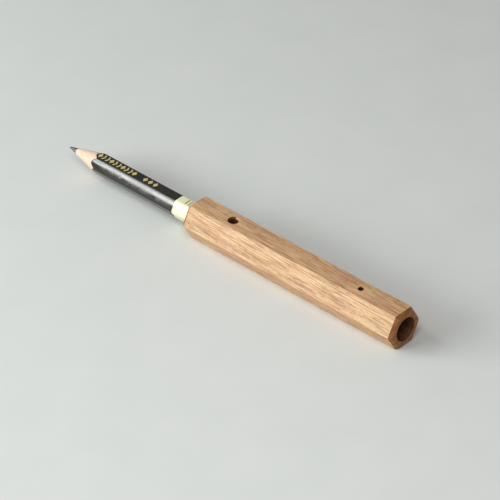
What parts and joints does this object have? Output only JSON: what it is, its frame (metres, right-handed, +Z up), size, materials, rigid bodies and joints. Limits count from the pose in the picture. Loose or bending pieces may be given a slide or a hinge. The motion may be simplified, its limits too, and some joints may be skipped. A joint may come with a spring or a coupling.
{
  "type": "pencil holder",
  "caption": "Hexagonal oak pencil holder, bored lengthwise, with two cross holes; a short sharpened hexagonal pencil slides in its front end.",
  "frame": {"origin": "on the resting surface, under the middle of the overall length from the graphite point to the holder's rear face", "axes": "+X along the common axis towards the holder's open rear end, +Y across, +Z up out of the flat that holds the two side holes"},
  "size_m": [0.167, 0.0162, 0.014],
  "materials": {
    "oak": "bare planed oak, fine open grain along the length",
    "cedar": "fresh cut, pale and fine",
    "graphite": "dull metallic sheen",
    "lacquer": "glossy black lacquer",
    "cream": "glossy cream paint",
    "gold": "hot-stamped gold foil, satin"
  },
  "bodies": {
    "holder": {"holder_body": "oak"},
    "pencil": {"slat_upper": "cedar", "slat_lower": "cedar", "graphite_lead": "graphite", "black_lacquer": "lacquer", "cream_dip": "cream", "foil_long_row": "gold", "foil_short_row": "gold", "grade_bars": "gold"}
  },
  "joints": [
    {"name": "pencil_slide", "type": "slide", "parent": "holder", "child": "pencil", "axis": [1, 0, 0], "range_m": [-0.0175, 0.067]}
  ]
}
